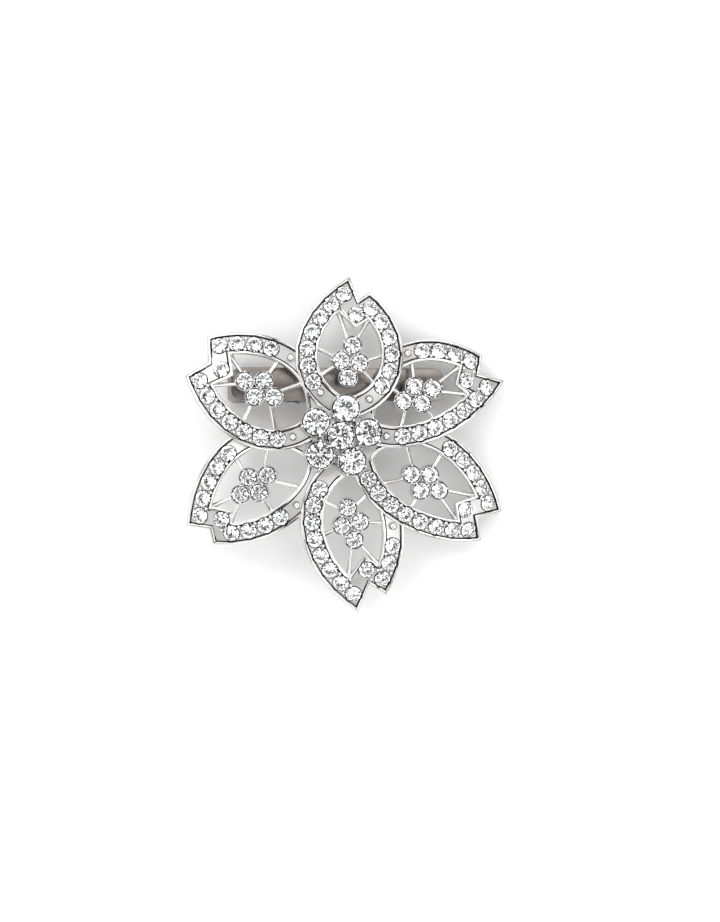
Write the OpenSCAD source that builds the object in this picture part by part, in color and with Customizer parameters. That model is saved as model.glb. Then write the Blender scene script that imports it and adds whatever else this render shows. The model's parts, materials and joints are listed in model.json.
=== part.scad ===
// A flower hair clip: six pierced petals set with rhinestones on a sprung alligator clip.
// It is drawn in the flower's own frame, with +Z out of the flower's face and +X along the clip,
// and is then laid down as it rests on a table, on the clip's lever and two of the petals' points.

/* [Stones] */
// Diameter of a border stone or a cluster stone
stone_d = 2.4; // [2.2:0.05:2.6]
// Space between one border stone and the next
stone_space = 0.2; // [0.1:0.05:0.6]
// Diameter of a centre stone
big_stone_d = 3.9; // [3.4:0.1:4.2]
// Height of a stone's crown, as a share of its diameter
crown_share = 0.19; // [0.15:0.01:0.25]
// Depth of a stone's point, as a share of its diameter
pavilion_share = 0.43; // [0.38:0.01:0.46]
// Diameter of a stone's flat top, as a share of its diameter
table_share = 0.58; // [0.5:0.02:0.66]

/* [Petals] */
// Reach of a full petal, from the flower's centre to its long point
petal_reach = 26; // [24:0.5:30]
// Greatest half width of a full petal
petal_half_w = 8; // [7.5:0.25:9.5]
// Radius of each petal's dome
dome_r = 32; // [28:1:60]
// Distance from the flower's centre to the top of each dome
crest_u = 10; // [8:0.5:12]
// Thickness of a petal frame
frame_t = 2; // [1.8:0.1:2.6]
// Width of the polished rim on each side of the stones
rim_w = 0.45; // [0.35:0.05:0.6]
// Depth of the channel between the rims
channel_depth = 0.45; // [0.3:0.05:0.6]
// Height of each petal's step over the petal that it laps
lift_step = 0.25; // [0.1:0.05:0.3]

/* [Petal points] */
// Distance from a petal's axis to each of its points
point_v = 2.4; // [1.8:0.05:2.8]
// Distance that the short point stops short of the long one
point_step = 1.7; // [0.5:0.1:2.2]
// Depth of the notch, from the long point
notch_depth = 3; // [2.4:0.1:3.6]

/* [Openwork] */
// Half length of the four-stone cluster between stone centres, as a share of a stone's diameter
long_share = 1.02; // [0.98:0.01:1.1]
// Half width of the four-stone cluster between stone centres, as a share of a stone's diameter
wide_share = 0.575; // [0.54:0.005:0.6]
// Width of an openwork spoke
spoke_w = 0.65; // [0.5:0.05:0.9]
// Thickness of an openwork spoke
spoke_t = 0.8; // [0.6:0.05:1]
// Depth of a spoke's underside below the petal's face
spoke_depth = 1.8; // [1.5:0.05:1.8]

/* [Centre] */
// Space between the middle stone and the five round it
ring_space = 0.25; // [0.2:0.05:0.6]
// Outward lean of the five stones
ring_tilt = 7; // [0:1:12]
// Height of the centre stones' girdles
big_girdle_z = 1.5; // [1.4:0.05:2]
// How far the plate under the petals' roots reaches beyond the ring's radius
hub_reach = 1.35; // [0.9:0.05:1.6]
// Thickness of that plate
hub_t = 1; // [0.8:0.1:1.4]
// Diameter of the rivet through it
rivet_d = 1.8; // [1.4:0.1:2.4]

/* [Clip] */
// Length of the clip
clip_len = 32; // [28:1:36]
// Width of the clip
clip_w = 5; // [4.6:0.2:6]
// Thickness of the clip's steel
steel_t = 0.6; // [0.4:0.05:0.7]
// Distance from the flower's centre to the clip's centre line
clip_y = 7.9; // [7:0.1:9]
// Height of the clip's flat top
clip_z = -3.3; // [-4:0.1:-3.3]
// Distance from the clip's rear end to its hinge
lever_len = 9.5; // [8:0.5:11]
// Clear height between the top plate and the hinge pin
pin_room = 1.15; // [1:0.05:1.6]
// Diameter of the hinge pin
pin_d = 1.5; // [1.2:0.1:1.6]
// Slope of the lever
lever_angle = 18; // [14:1:22]
// Number of turns of the spring
spring_turns = 3; // [2:1:4]
// Diameter of the spring's wire
wire_d = 0.4; // [0.3:0.05:0.45]

/* [Hidden] */
$fn = 48;
eps = 0.01;
far = 40;

// Each petal's name and direction, its shares of the reach, of the half width on its long and short
// sides, and of its points' distance, step and notch, the side that its long point is on, its
// number of lift steps, and the reach and side shift of its cluster
PETALS = [
    ["top", 82, 0.925, 1.05, 1, 0.67, 1.15, 1.15, 1, 4, 11.2, 0],
    ["upper_right", 24, 1.03, 0.77, 1.12, 1, 1, 1.15, -1, 3, 13.3, -0.9],
    ["lower_right", -29.5, 1.05, 1.06, 0.85, 1.12, 0.4, 1, 1, 2, 14.6, 0.4],
    ["bottom", -78, 1.01, 1.06, 0.85, 0.95, 1, 1.25, -1, 1, 13.1, 1],
    ["lower_left", 215.5, 1, 1.18, 0.8, 0.95, 0.95, 0.8, -1, 0, 14.6, 1.5],
    ["upper_left", 150.5, 0.935, 1, 1.02, 1.4, 0, 0.65, 1, 3, 13.9, -0.2],
];

function petal_name(k) = PETALS[k][0];
function petal_angle(k) = PETALS[k][1];
function reach(k) = petal_reach * PETALS[k][2];
function half_w(k, s) = petal_half_w * PETALS[k][s > 0 ? 3 : 4];
function points_v(k) = point_v * PETALS[k][5];
function points_step(k) = point_step * PETALS[k][6];
function notch_in(k) = notch_depth * PETALS[k][7];
function long_side(k) = PETALS[k][8];
function lift(k) = lift_step * PETALS[k][9];
function cluster_at(k) = [PETALS[k][10], PETALS[k][11]];
function petals_over(k) = [for (j = [0:len(PETALS) - 1]) if (PETALS[j][9] > PETALS[k][9]) j];

PETAL_IDS = [for (k = [0:len(PETALS) - 1]) k];

// ---- Small geometry helpers ----

function unit(v) = v / norm(v);
function turn(p, a) = [p[0] * cos(a) - p[1] * sin(a), p[0] * sin(a) + p[1] * cos(a)];
function reversed(list) = [for (i = [len(list) - 1:-1:0]) list[i]];
function bezier(p, t) =
    pow(1 - t, 3) * p[0] + 3 * pow(1 - t, 2) * t * p[1] + 3 * (1 - t) * t * t * p[2] + pow(t, 3) * p[3];
function bezier_slope(p, t) =
    pow(1 - t, 2) * (p[1] - p[0]) + 2 * (1 - t) * t * (p[2] - p[1]) + t * t * (p[3] - p[2]);
function running(p, i = 0, sum = 0) =
    i >= len(p) - 1 ? [sum] : concat([sum], running(p, i + 1, sum + norm(p[i + 1] - p[i])));
function along(p, sums, s) = [
    lookup(s, [for (i = [0:len(p) - 1]) [sums[i], p[i][0]]]),
    lookup(s, [for (i = [0:len(p) - 1]) [sums[i], p[i][1]]])
];
function from_segment(p, a, b) =
    let (t = max(0, min(1, (p - a) * (b - a) / ((b - a) * (b - a))))) norm(p - a - t * (b - a));
function from_outline(p, loop) =
    min([for (i = [0:len(loop) - 1]) from_segment(p, loop[i], loop[(i + 1) % len(loop)])]);
function crosses(p, a, b) =
    (a[1] > p[1]) != (b[1] > p[1]) && p[0] < (b[0] - a[0]) * (p[1] - a[1]) / (b[1] - a[1]) + a[0];
function inside(p, loop) =
    len([for (i = [0:len(loop) - 1]) if (crosses(p, loop[i], loop[(i + 1) % len(loop)])) 1]) % 2 == 1;

// ---- The petal's outline, in its own plan: u runs out from the flower's centre, v across ----

stone_pitch = stone_d + stone_space;
ring_r = big_stone_d + ring_space;
hub_r = ring_r + hub_reach;
band_w = stone_d + 2 * rim_w;
root_u = 3;
root_v = 1.9;
side_steps = 26;
notch_slope = 1.3;
opening_gap = 0.5;

function tip(k, s) = [reach(k) - (s > 0 ? 0 : points_step(k)), s * points_v(k)];
function notch(k, off) = [reach(k) - notch_in(k) - off * notch_slope, 0];
function side_curve(k, s) = let (span = reach(k) - root_u) [
    [root_u, s * root_v],
    [root_u + 0.17 * span, s * 1.22 * half_w(k, s)],
    [root_u + 0.66 * span, s * 1.27 * half_w(k, s)],
    tip(k, s)
];
function side_raw(k, s, off) = let (c = side_curve(k, s)) [
    for (i = [0:side_steps])
        let (t = i / side_steps, d = unit(bezier_slope(c, t)))
            bezier(c, t) + off * s * [d[1], -d[0]]
];
function in_from_notch_edge(k, s, p) =
    let (e = unit(notch(k, 0) - tip(k, s))) s * (p - tip(k, s)) * [e[1], -e[0]];
// One side of the outline, from the root to its point, moved in by off.
function side_kept(k, s, off) = let (
    raw = side_raw(k, s, off),
    kept = [for (p = raw) if (in_from_notch_edge(k, s, p) > off + 1e-6) p],
    a = raw[len(kept) - 1],
    b = raw[len(kept)],
    da = in_from_notch_edge(k, s, a),
    db = in_from_notch_edge(k, s, b),
    corner = a + (b - a) * (da - off) / (da - db)
) concat([for (p = kept) if (s * p[1] > opening_gap) p], [corner]);
// The whole outline moved in by off, in the flower's plan.
function local_loop(k, off) = concat(
    side_kept(k, 1, off), [notch(k, off)], reversed(side_kept(k, -1, off))
);
function to_flower(k, p) = turn([p[0], long_side(k) * p[1]], petal_angle(k));
function petal_loop(k, off) = [for (p = local_loop(k, off)) to_flower(k, p)];

// ---- The dome ----

function crest(k) = turn([crest_u, 0], petal_angle(k));
function dome_z(k, p, depth) =
    let (d = norm(p - crest(k))) lift(k) - dome_r + sqrt(pow(dome_r - depth, 2) - d * d);

module dome(k, depth) {
    translate([crest(k)[0], crest(k)[1], lift(k) - dome_r])
        sphere(dome_r - depth);
}

// Stands its children on petal k's face at the plan point p, square to the face.
module on_dome(k, p) {
    d = p - crest(k);
    translate([crest(k)[0], crest(k)[1], lift(k) - dome_r])
        rotate([0, asin(norm(d) / dome_r), atan2(d[1], d[0])])
            translate([0, 0, dome_r])
                children();
}

module prism(loop) {
    translate([0, 0, -far / 2])
        linear_extrude(far)
            polygon(loop);
}

module ring_prism(outer, inner) {
    difference() {
        prism(outer);
        prism(inner);
    }
}

// ---- Stones and their seats ----

stone_gap = 0.02;
girdle_drop = 0.4;
girdle_t = 0.08;

// A round stone with its girdle's lower edge at z = 0.
module stone(d) {
    rotate_extrude()
        polygon([
            [0, -pavilion_share * d],
            [d / 2, 0],
            [d / 2, girdle_t],
            [table_share * d / 2, crown_share * d],
            [0, crown_share * d]
        ]);
}

// The space that a stone and its setting tool need.
module seat(d) {
    r = d / 2 + stone_gap;
    rotate_extrude()
        polygon([[0, -pavilion_share * d - stone_gap], [r, 0], [r, d], [0, d]]);
}

// ---- Border stones ----

hub_clear_r = ring_r + big_stone_d / 2 + stone_d / 2 + 0.25;
cover_gap = 0.08;
least_gap = 0.06;
first_step = 0.05;

// Where the stones stand on one side of petal k, from its point to its root, clear of the notch's stone.
function side_stones(k, s) = let (
    path = reversed(side_kept(k, s, band_w / 2)),
    sums = running(path),
    first = [for (x = [0:first_step:stone_d]) if (clear_of_notch(k, along(path, sums, x))) x][0]
) [for (x = [first:stone_pitch:sums[len(sums) - 1]]) along(path, sums, x)];
function clear_of_notch(k, p) = norm(p - notch(k, band_w / 2)) > stone_d + least_gap;
function covered(p, k) = len([
    for (j = petals_over(k))
        if (inside(p, petal_loop(j, 0)) || from_outline(p, petal_loop(j, 0)) < stone_d / 2 + cover_gap) 1
]) > 0;
function border_stones_at(k) = [
    for (q = concat([notch(k, band_w / 2)], side_stones(k, 1), side_stones(k, -1)))
        let (p = to_flower(k, q))
            if (norm(p) > hub_clear_r && !covered(p, k)) p
];

module at_border_stones(k) {
    for (p = border_stones_at(k))
        on_dome(k, p)
            translate([0, 0, -girdle_drop])
                children();
}

module border_stones(k) {
    color("white")
        at_border_stones(k)
            stone(stone_d);
}

// ---- Petal frames ----

// Width of metal on each side of the channel that the seats are cut into.
ledge = 0.15;

// What the petals that lap over petal k, the centre's round seat and the plate beneath take away from it.
module cleared(k) {
    for (j = petals_over(k))
        prism(petal_loop(j, 0));
    translate([0, 0, setting_z])
        cylinder(h = far, r = centre_seat_r);
    translate([0, 0, hub_top - far])
        cylinder(h = far, r = hub_r);
}

module petal_frame(k) {
    color("silver")
        difference() {
            intersection() {
                ring_prism(petal_loop(k, 0), petal_loop(k, band_w));
                dome(k, 0);
            }
            dome(k, frame_t);
            difference() {
                ring_prism(petal_loop(k, rim_w + ledge), petal_loop(k, band_w - rim_w - ledge));
                dome(k, channel_depth);
            }
            at_border_stones(k)
                seat(stone_d);
            cleared(k);
            if (k == PAD_PETAL)
                solder_pads();
        }
}

// ---- Openwork: four cups on spokes inside each petal ----

cup_wall = 0.27;
cup_h = 1.4;
cup_drop = 0.35;
prong_r = 0.2;
prong_up = 0.3;
CLUSTER = stone_d * [[long_share, 0], [0, wide_share], [0, -wide_share], [-long_share, 0]];

module prongs(d, count, start) {
    for (i = [0:count - 1])
        rotate([0, 0, start + i * 360 / count])
            translate([d / 2 + stone_gap + prong_r, 0, -prong_up])
                cylinder(h = 2 * prong_up, r = prong_r);
}

module at_cluster(k) {
    on_dome(k, to_flower(k, cluster_at(k)))
        translate([0, 0, -cup_drop])
            rotate([0, 0, cluster_turn(k)])
                for (c = CLUSTER)
                    translate([c[0], c[1], 0])
                        children();
}

// on_dome() turns its children away from the crest, so the cluster is turned back to the petal's axis.
function cluster_turn(k) =
    let (d = to_flower(k, cluster_at(k)) - crest(k)) petal_angle(k) - atan2(d[1], d[0]);

// A strip from a to b, wide_a wide at a and wide_b wide at b.
module strip(a, b, wide_a, wide_b) {
    n = unit([b[1] - a[1], a[0] - b[0]]) / 2;
    polygon([a + n * wide_a, b + n * wide_b, b - n * wide_b, a - n * wide_a]);
}

// Where the spokes meet each side's wall, and how wide they are there: two thin ones along the side
// and a broad one at its point.
SPOKES = [[0.3, spoke_w * 1.5], [0.62, spoke_w * 1.5], [1, spoke_w * 3.4]];
spoke_bite = 1.5;

function spoke_ends(k) = [
    for (s = [1, -1])
        let (wall = side_kept(k, s, band_w))
            for (spoke = SPOKES)
                [wall[round(spoke[0] * (len(wall) - 1))], spoke[1]]
];

module spokes(k) {
    c = cluster_at(k);
    intersection() {
        translate([0, 0, -far / 2])
            linear_extrude(far)
                for (e = spoke_ends(k))
                    let (d = unit(e[0] - c))
                        strip(to_flower(k, c), to_flower(k, e[0] + d * spoke_bite), spoke_w, e[1]);
        prism(petal_loop(k, band_w));
        difference() {
            dome(k, spoke_depth - spoke_t);
            dome(k, spoke_depth);
        }
    }
}

module openwork(k) {
    color("silver")
        difference() {
            union() {
                spokes(k);
                at_cluster(k)
                    translate([0, 0, -cup_h])
                        cylinder(h = cup_h, r = stone_d / 2 + stone_gap + cup_wall);
                at_cluster(k)
                    prongs(stone_d, 4, 45);
            }
            at_cluster(k)
                seat(stone_d);
            cleared(k);
        }
}

module cluster_stones(k) {
    color("white")
        at_cluster(k)
            stone(stone_d);
}

// ---- Centre ----

big_cup_wall = 0.24;
big_prong_r = 0.26;
big_prong_h = 0.95;
big_prong_down = 0.5;
setting_base_t = 0.7;
big_cup_r = big_stone_d / 2 + stone_gap + big_cup_wall;
centre_seat_r = ring_r + big_cup_r + 0.1;
setting_drop = 0.55;
setting_z = -setting_drop;
root_bite = 0.1;
hub_top = lift(0) - pow(crest_u - 5, 2) / (2 * dome_r) - frame_t + root_bite;
rivet_head_t = 0.5;
RING_START = 79;
RING_COUNT = 5;

module at_centre_cups() {
    translate([0, 0, big_girdle_z + 0.1])
        children();
    for (i = [0:RING_COUNT - 1])
        rotate([0, 0, RING_START + i * 360 / RING_COUNT])
            translate([ring_r, 0, big_girdle_z])
                rotate([0, ring_tilt, 0])
                    children();
}

// The centre setting's outer form, with no seats and no prongs.
module centre_body() {
    translate([0, 0, setting_z])
        cylinder(h = setting_base_t, r = ring_r);
    intersection() {
        at_centre_cups()
            translate([0, 0, -far / 4])
                cylinder(h = far / 4, r = big_cup_r);
        translate([-far / 2, -far / 2, setting_z])
            cube(far);
    }
}

module centre_setting() {
    color("silver")
        difference() {
            union() {
                centre_body();
                at_centre_cups()
                    big_prongs();
            }
            at_centre_cups()
                seat(big_stone_d);
        }
}

module big_prongs() {
    for (i = [0:3])
        rotate([0, 0, 45 + i * 90])
            translate([big_stone_d / 2 + stone_gap + big_prong_r * 0.9, 0, -big_prong_down])
                cylinder(h = big_prong_h, r = big_prong_r);
}

module centre_stones() {
    color("white")
        at_centre_cups()
            stone(big_stone_d);
}

module hub_plate() {
    color("silver")
        difference() {
            translate([0, 0, hub_top - hub_t])
                cylinder(h = hub_t, r = hub_r);
            translate([0, 0, hub_top - 2 * hub_t])
                cylinder(h = 3 * hub_t, r = rivet_d / 2 + stone_gap);
        }
}

module hub_rivet() {
    color("silver")
        translate([0, 0, hub_top - hub_t - rivet_head_t]) {
            cylinder(h = rivet_head_t, r = rivet_d);
            cylinder(h = setting_z - hub_top + hub_t + rivet_head_t, r = rivet_d / 2);
        }
}

// ---- Solder pads between the top petal and the clip ----

PAD_PETAL = 0;
pad_r = 1.3;
pad_bite = 0.2;

function nearest_to_clip(k, s) = let (
    path = [for (q = side_kept(k, s, band_w / 2)) if (q[0] < crest_u) to_flower(k, q)],
    miss = [for (p = path) abs(p[1] - clip_y)],
    best = min(miss)
) [for (i = [0:len(path) - 1]) if (miss[i] == best) path[i]][0];

module solder_pads() {
    color("gray")
        for (s = [1, -1])
            let (p = nearest_to_clip(PAD_PETAL, s), top = dome_z(PAD_PETAL, p, frame_t) + pad_bite)
                translate([p[0], p[1], clip_z])
                    cylinder(h = top - clip_z, r = pad_r);
}

// ---- Clip, with its hinge along Y ----

clip_x0 = -clip_len / 2;
pin_x = clip_x0 + lever_len;
pin_z = clip_z - steel_t - pin_room - pin_d / 2;
run_gap = 0.05;
side_gap = 0.1;
ear_len = 5;
ear_below = 1.5;
coil_room = 0.2;
jaw_top = pin_z - pin_d / 2 - wire_d - coil_room;
jaw_w = clip_w - 2 * (steel_t + side_gap);
jaw_ear_r = pin_d / 2 + 0.75;
nose_back = 0.4;
nose_len = 6;
tooth_h = 0.7;
tooth_pitch = 1.5;
tooth_count = 6;
tooth_tip = 0.35;
tooth_bite = 0.3;
tip_r = 1.6;
lever_r = 1;
pin_head_t = 0.35;
pin_head_edge = 0.3;

module across(w) {
    rotate([90, 0, 0])
        translate([0, 0, -w / 2])
            linear_extrude(w)
                children();
}

module pin_hole(gap) {
    rotate([90, 0, 0])
        cylinder(h = 2 * clip_w, r = pin_d / 2 + gap, center = true);
}

// A flat strip in plan from x0 to x1, with rounded corners.
module rounded_strip(x0, x1, w, r) {
    translate([x0, r - w / 2])
        square([x1 - x0, w - 2 * r]);
    translate([x0 + r, -w / 2])
        square([x1 - x0 - 2 * r, w]);
    for (x = [x0 + r, x1 - r], s = [-1, 1])
        translate([x, s * (w / 2 - r)])
            circle(r);
}

// The fixed plate that the flower is soldered to, with two ears that carry the pin.
module clip_top_plate() {
    color("silver")
        translate([0, clip_y, 0])
            difference() {
                union() {
                    translate([0, 0, clip_z - steel_t])
                        linear_extrude(steel_t)
                            rounded_strip(clip_x0, -clip_x0, clip_w, tip_r);
                    for (s = [-1, 1])
                        translate([pin_x, s * (clip_w - steel_t) / 2, 0])
                            across(steel_t)
                                ear_outline();
                }
                translate([pin_x, 0, pin_z])
                    pin_hole(0);
            }
}

module ear_outline() {
    translate([-ear_len / 2, pin_z])
        square([ear_len, clip_z - steel_t / 2 - pin_z]);
    intersection() {
        translate([0, pin_z])
            circle(ear_len / 2);
        translate([-ear_len / 2, pin_z - ear_below])
            square([ear_len, ear_below + eps]);
    }
}

// The jaw's outline from the side: a lever that slopes down and a jaw that rises to the plate.
jaw_nose_x = -clip_x0 - nose_back;
jaw_nose_top = clip_z - steel_t - tooth_h - run_gap;
jaw_flat = 2.6;
lever_foot_z = jaw_top - steel_t - lever_len * tan(lever_angle);
jaw_slope = atan((jaw_nose_top - jaw_top) / (jaw_nose_x - pin_x - jaw_flat));

module jaw_outline() {
    polygon([
        [clip_x0, lever_foot_z],
        [pin_x, jaw_top - steel_t],
        [pin_x + jaw_flat, jaw_top - steel_t],
        [jaw_nose_x, jaw_nose_top - steel_t],
        [jaw_nose_x, jaw_nose_top],
        [pin_x + jaw_flat, jaw_top],
        [pin_x, jaw_top],
        [clip_x0, lever_foot_z + steel_t]
    ]);
}

// Teeth along the jaw's two edges, whose tips stop just under the plate.
module jaw_teeth() {
    for (i = [0:tooth_count - 1])
        let (
            x = jaw_nose_x - i * tooth_pitch,
            drop = tooth_pitch * tan(jaw_slope),
            base = jaw_nose_top - i * drop - tooth_bite
        )
            polygon([
                [x - tooth_pitch, base - drop],
                [x, base],
                [x, clip_z - steel_t - run_gap],
                [x - tooth_tip, clip_z - steel_t - run_gap]
            ]);
}

module clip_lower_jaw() {
    color("silver")
        translate([0, clip_y, 0])
            difference() {
                union() {
                    intersection() {
                        across(clip_w)
                            jaw_outline();
                        jaw_plan();
                    }
                    for (s = [-1, 1])
                        translate([0, s * (jaw_w - steel_t) / 2, 0])
                            across(steel_t)
                                jaw_ear();
                    for (s = [-1, 1])
                        translate([0, s * (jaw_w - steel_t) / 2, 0])
                            across(steel_t)
                                jaw_teeth();
                }
                translate([pin_x, 0, pin_z])
                    pin_hole(run_gap);
            }
}

module jaw_ear() {
    base = jaw_top - steel_t / 2;
    translate([pin_x, pin_z])
        circle(jaw_ear_r);
    polygon([
        [pin_x - jaw_ear_r, pin_z],
        [pin_x - jaw_ear_r, base - jaw_ear_r * tan(lever_angle)],
        [pin_x, base],
        [pin_x + jaw_ear_r, base],
        [pin_x + jaw_ear_r, pin_z]
    ]);
}

// The jaw in plan: broad at the lever, and narrow between the plate's ears and beyond.
module jaw_plan() {
    translate([0, 0, -far / 2])
        linear_extrude(far) {
            rounded_strip(clip_x0, pin_x - ear_len / 2 - coil_room, clip_w, lever_r);
            translate([clip_x0 + 2 * lever_r, -jaw_w / 2])
                square([clip_len - 4 * lever_r, jaw_w]);
            rounded_strip(jaw_nose_x - nose_len, jaw_nose_x, jaw_w, lever_r);
        }
}

module clip_hinge_pin() {
    color("gray")
        translate([pin_x, clip_y, pin_z])
            rotate([90, 0, 0]) {
                cylinder(h = clip_w, r = pin_d / 2, center = true);
                for (s = [-1, 1])
                    translate([0, 0, s * (clip_w + pin_head_t) / 2])
                        cylinder(h = pin_head_t, r = pin_d / 2 + pin_head_edge, center = true);
            }
}

// ---- Spring: a coil round the pin, with one leg under the plate and one along the lever ----

coil_r = pin_d / 2 + wire_d / 2 + 0.08;
coil_pitch = wire_d + 0.06;
wire_sides = 8;
turn_steps = 16;
leg_len = 5;
leg_rise = asin((pin_room + pin_d / 2 - coil_r - wire_d / 2 - run_gap) / leg_len);

// The wire leaves the coil square to its radius, over the pin at one end and under it at the other.
coil_start = 90 - leg_rise;
coil_turn = 360 * spring_turns + 180 - leg_rise - lever_angle;

// A point of the coil at a share f of its length.
function coil_point(f) = let (a = coil_start - f * coil_turn) [
    coil_r * cos(a), coil_pitch * coil_turn / 360 * (f - 0.5), coil_r * sin(a)
];
function spring_path() = let (steps = round(coil_turn / 360 * turn_steps)) concat(
    [coil_point(0) + leg_len * [-cos(leg_rise), 0, sin(leg_rise)]],
    [for (i = [0:steps]) coil_point(i / steps)],
    [coil_point(1) + leg_len * [-cos(lever_angle), 0, -sin(lever_angle)]]
);

// A round wire swept along a path that never runs along Y.
module wire(path, d) {
    n = len(path);
    rings = [
        for (i = [0:n - 1])
            let (
                t = unit(path[min(i + 1, n - 1)] - path[max(i - 1, 0)]),
                side = unit(cross(t, [0, 1, 0])),
                up = cross(side, t)
            )
                for (j = [0:wire_sides - 1])
                    path[i] + d / 2 * (cos(j * 360 / wire_sides) * side + sin(j * 360 / wire_sides) * up)
    ];
    polyhedron(
        rings,
        concat(
            [[for (j = [0:wire_sides - 1]) j]],
            [for (i = [0:n - 2], j = [0:wire_sides - 1])
                let (a = i * wire_sides + j, b = i * wire_sides + (j + 1) % wire_sides)
                    each [[a, a + wire_sides, b], [b, a + wire_sides, b + wire_sides]]],
            [[for (j = [wire_sides - 1:-1:0]) (n - 1) * wire_sides + j]]
        )
    );
}

module clip_spring() {
    color("gray")
        translate([pin_x, clip_y, pin_z])
            wire(spring_path(), wire_d);
}

// ---- How the clip lies on a table: the origin is under the middle of its box ----

function tip_corners(k) = [
    for (s = [1, -1], depth = [0, frame_t])
        let (p = to_flower(k, tip(k, s))) [p[0], p[1], dome_z(k, p, depth)]
];
all_tips = [for (k = PETAL_IDS) each tip_corners(k)];
lever_foot = [clip_x0, clip_y - clip_w / 2 + lever_r, lever_foot_z];

// It rests on its lever and on the two petal points between which it can't tip.
function up_from(a, b) = let (n = unit(cross(a - lever_foot, b - lever_foot))) n[2] > 0 ? n : -n;
function rests_on(a, b) =
    inside([0, 0], [lever_foot, a, b])
    && min([for (p = all_tips) up_from(a, b) * (p - lever_foot)]) > -eps;
feet = [
    for (i = [0:len(all_tips) - 2], j = [i + 1:len(all_tips) - 1])
        if (rests_on(all_tips[i], all_tips[j])) [all_tips[i], all_tips[j]]
][0];
table_up = up_from(feet[0], feet[1]);
table_y = unit([0, 1, 0] - table_up[1] * table_up);
table_x = cross(table_y, table_up);
function mid_extent(axis) = let (d = [for (p = all_tips) axis * p]) (min(d) + max(d)) / 2;
TABLE = [
    concat(table_x, -mid_extent(table_x)),
    concat(table_y, -mid_extent(table_y)),
    concat(table_up, -table_up * lever_foot),
    [0, 0, 0, 1]
];

module lie() {
    multmatrix(TABLE)
        children();
}

lie() {
    for (k = PETAL_IDS) {
        petal_frame(k);
        border_stones(k);
        openwork(k);
        cluster_stones(k);
    }
    centre_setting();
    centre_stones();
    hub_plate();
    hub_rivet();
    solder_pads();
    clip_top_plate();
    clip_lower_jaw();
    clip_hinge_pin();
    clip_spring();
}
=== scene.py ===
"""A flower hair clip: plated petals set with faceted rhinestones, on a sprung alligator clip."""

import json
import math
import random

import bmesh
import bpy
import numpy as np
from mathutils import Matrix, Vector


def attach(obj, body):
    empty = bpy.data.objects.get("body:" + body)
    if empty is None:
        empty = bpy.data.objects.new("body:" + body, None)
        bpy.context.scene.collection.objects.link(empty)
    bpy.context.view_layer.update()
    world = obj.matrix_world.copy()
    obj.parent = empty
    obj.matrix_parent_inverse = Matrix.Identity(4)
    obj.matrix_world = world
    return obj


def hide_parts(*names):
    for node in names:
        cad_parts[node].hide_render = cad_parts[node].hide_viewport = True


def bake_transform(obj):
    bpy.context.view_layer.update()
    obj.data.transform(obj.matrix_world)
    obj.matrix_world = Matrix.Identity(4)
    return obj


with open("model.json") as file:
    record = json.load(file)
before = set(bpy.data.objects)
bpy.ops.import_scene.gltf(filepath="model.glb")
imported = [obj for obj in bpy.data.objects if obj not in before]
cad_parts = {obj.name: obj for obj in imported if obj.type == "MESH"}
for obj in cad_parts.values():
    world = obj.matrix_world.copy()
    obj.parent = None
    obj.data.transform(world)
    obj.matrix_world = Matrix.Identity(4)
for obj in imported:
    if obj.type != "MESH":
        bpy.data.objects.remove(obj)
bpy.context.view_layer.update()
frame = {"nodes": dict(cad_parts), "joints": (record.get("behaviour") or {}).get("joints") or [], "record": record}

bl_info = {
    "name": "Rhinestone hair clip",
    "version": (1, 0, 0),
    "blender": (4, 5, 0),
    "location": "3D View > Sidebar > Hair Clip",
    "description": "Builds the looks of a rhinestone flower clip round its packed model",
    "category": "Add Mesh",
}

MM = 0.001
FLOWER_BODY = "flower"
JAW_BODY = "lower_jaw"


# ---- Sizes and colours ----

def length(name, description, default):
    """A length in millimetres."""
    return bpy.props.FloatProperty(name=name, description=description, default=default, min=0)


def angle(name, description, degrees):
    """An angle, given in degrees and kept in radians."""
    return bpy.props.FloatProperty(
        name=name, description=description, default=math.radians(degrees), min=0, subtype="ANGLE"
    )


def share(name, description, default):
    """A share of another size."""
    return bpy.props.FloatProperty(
        name=name, description=description, default=default, min=0, max=2, subtype="FACTOR"
    )


def colour(name, description, default):
    """A colour of a finish."""
    return bpy.props.FloatVectorProperty(
        name=name, description=description, default=default, size=3, min=0, max=1, subtype="COLOR"
    )


class FlowerSizes(bpy.types.PropertyGroup):
    """The flower's sizes, in millimetres."""

    stone: length("Stone", "Diameter of a border or cluster stone", 2.4)
    big_stone: length("Centre stone", "Diameter of a centre stone", 3.9)
    crown: share("Crown", "Height of a stone's crown over its diameter", 0.19)
    pavilion: share("Pavilion", "Depth of a stone's point over its diameter", 0.43)
    table: share("Table", "Diameter of a stone's flat top over its diameter", 0.58)
    rim: length("Rim", "Width of the polished rim on each side of the stones", 0.45)
    reach: length("Reach", "Reach of a full petal to its long point", 26)
    half_width: length("Half width", "Greatest half width of a full petal", 8)
    point_v: length("Point spread", "Distance from a petal's axis to its points", 2.4)
    point_step: length("Point step", "How far the short point stops short of the long one", 1.7)
    notch: length("Notch", "Depth of the notch from the long point", 3)
    dome_r: length("Dome", "Radius of each petal's dome", 32)
    crest_u: length("Crest", "Distance from the flower's centre to the top of a dome", 10)
    thick: length("Thickness", "Thickness of a petal frame", 2)
    channel: length("Channel", "Depth of the channel between the rims", 0.45)
    lift: length("Lift", "Height of a petal's step over the one that it laps", 0.25)
    ring_r: length("Ring", "Radius of the ring of centre stones", 4.15)
    ring_tilt: angle("Ring lean", "Outward lean of the ring's stones", 7)
    girdle_z: length("Centre height", "Height of the centre stones' girdles", 1.5)


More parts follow.
